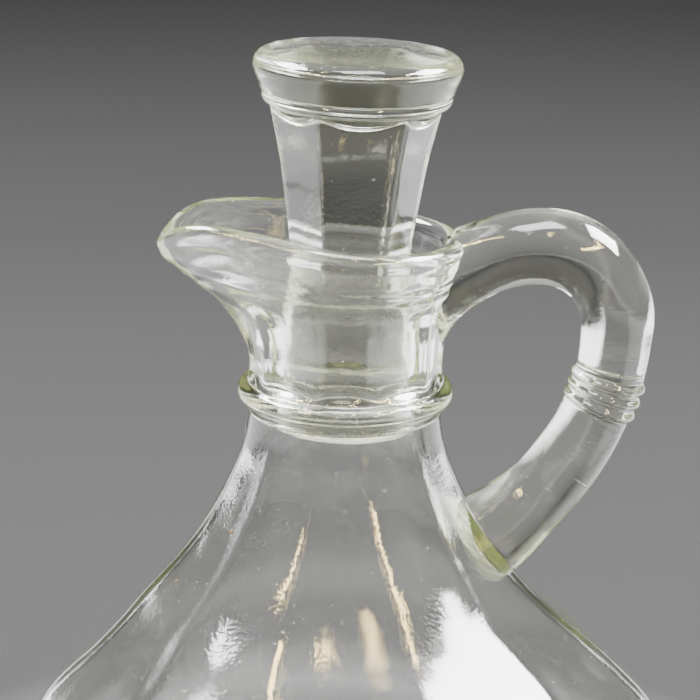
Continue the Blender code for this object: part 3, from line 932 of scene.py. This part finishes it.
def direction(azimuth, elevation):
    """Unit vector from the cruet. Azimuth 0 is towards the camera and 90 is +X, both in degrees."""
    turn, rise = math.radians(azimuth), math.radians(elevation)
    return Vector((math.sin(turn) * math.cos(rise), -math.cos(turn) * math.cos(rise), math.sin(rise)))


def make_light(name, start, end, distance, height, radiance, colour=(1.0, 1.0, 1.0)):
    """A flat light that faces the cruet and runs between two directions, each an azimuth and an elevation.

    It is aimed at a point on the axis at the aim height.
    """
    first, last = direction(*start) * distance, direction(*end) * distance
    along = last - first
    away = (first + last) / 2.0
    back = away.normalized()
    across = back.cross(along).normalized()
    data = bpy.data.lights.new(name, "AREA")
    data.shape = "RECTANGLE"
    data.size = along.length
    data.size_y = height
    data.energy = radiance * data.size * data.size_y * WATTS_FOR_RADIANCE
    data.color = colour
    light = bpy.data.objects.new(name, data)
    bpy.context.scene.collection.objects.link(light)
    side = across.cross(back)
    light.matrix_world = Matrix((
        (side.x, across.x, back.x, away.x),
        (side.y, across.y, back.y, away.y),
        (side.z, across.z, back.z, away.z + AIM_HEIGHT),
        (0.0, 0.0, 0.0, 1.0)))


def make_lights(look):
    """Softboxes high at both sides and a little behind, one light overhead and small warm lamps in front."""
    cool, warm = (0.92, 0.97, 1.0), (1.0, 0.74, 0.26)
    make_light("left_softbox", (-78, 46), (-134, 46), 0.9, 0.32, look.softbox_radiance)
    make_light("right_softbox", (79, 41), (126, 41), 0.9, 0.36, look.softbox_radiance)
    make_light("overhead", (-30, 68), (70, 74), 0.9, 0.30, look.overhead_radiance, cool)
    # Name, start, end, height and share of the lamps' brightness
    lamps = (
        ("left_strip", (-36, 28), (-64, 38), 0.030, 1.0),
        ("right_strip", (25, 24), (64, 39), 0.030, 1.0),
        ("left_lamp", (-40, 53), (-52, 50), 0.04, 1.0),
        ("right_lamp", (62, 41), (70, 46), 0.03, 1.0),
        ("middle_lamp", (-7, 53.5), (-4, 53.5), 0.04, 1.0),
        ("middle_strip", (11, 46), (18, 57), 0.022, 0.7),
    )
    for name, start, end, height, strength in lamps:
        make_light(name, start, end, 1.0, height, look.lamp_radiance * strength, warm)


def make_world():
    """The even light of the room."""
    world = bpy.data.worlds.new("Studio")
    world.use_nodes = True
    world.node_tree.nodes["Background"].inputs["Color"].default_value = ROOM_LIGHT
    bpy.context.scene.world = world


def make_camera():
    """The camera in front of the cruet, looking along +Y and down, the picture turned a little clockwise."""
    distance = 0.382
    height = 0.2124
    sideways = -0.0013
    pitch = math.radians(16.53)
    roll = math.radians(1.2)
    focal_in_pixels = 2258.0
    picture_width = 700
    data = bpy.data.cameras.new("photo_camera")
    data.sensor_width = 36.0
    data.lens = focal_in_pixels / picture_width * data.sensor_width
    data.clip_start = 0.01
    camera = bpy.data.objects.new("photo_camera", data)
    bpy.context.scene.collection.objects.link(camera)
    right = Vector((1.0, 0.0, 0.0))
    ahead = Vector((0.0, math.cos(pitch), -math.sin(pitch)))
    up = right.cross(ahead)
    turned_right = right * math.cos(roll) + up * math.sin(roll)
    turned_up = up * math.cos(roll) - right * math.sin(roll)
    camera.matrix_world = Matrix((
        (turned_right.x, turned_up.x, -ahead.x, sideways),
        (turned_right.y, turned_up.y, -ahead.y, -distance),
        (turned_right.z, turned_up.z, -ahead.z, height),
        (0.0, 0.0, 0.0, 1.0)))
    bpy.context.scene.camera = camera


class CRUET_PT_panel(bpy.types.Panel):
    """Lists the pieces of the cruet"""

    bl_idname = "CRUET_PT_panel"
    bl_label = "Glass cruet"
    bl_space_type = "VIEW_3D"
    bl_region_type = "UI"
    bl_category = "Cruet"

    def draw(self, context):
        for operator in PIECES:
            self.layout.operator(operator.bl_idname)


PIECES = (CRUET_OT_bottle, CRUET_OT_stopper, CRUET_OT_residue, CRUET_OT_stage)
SETTINGS = {
    "cruet_bottle": BottleSizes,
    "cruet_stopper": StopperSizes,
    "cruet_glass": GlassLook,
    "cruet_stage": StageLook,
}


def register():
    """Makes the settings, the operators and the panel known."""
    for name, group in SETTINGS.items():
        bpy.utils.register_class(group)
        setattr(bpy.types.Scene, name, PointerProperty(type=group))
    for piece in PIECES:
        bpy.utils.register_class(piece)
    bpy.utils.register_class(CRUET_PT_panel)


def unregister():
    """Takes the panel, the operators and the settings away again."""
    bpy.utils.unregister_class(CRUET_PT_panel)
    for piece in reversed(PIECES):
        bpy.utils.unregister_class(piece)
    for name, group in reversed(SETTINGS.items()):
        delattr(bpy.types.Scene, name)
        bpy.utils.unregister_class(group)


def main():
    """Builds the cruet and its stage."""
    register()
    bpy.ops.cruet.bottle()
    bpy.ops.cruet.stopper()
    bpy.ops.cruet.residue()
    bpy.ops.cruet.stage()


if __name__ == "__main__":
    main()
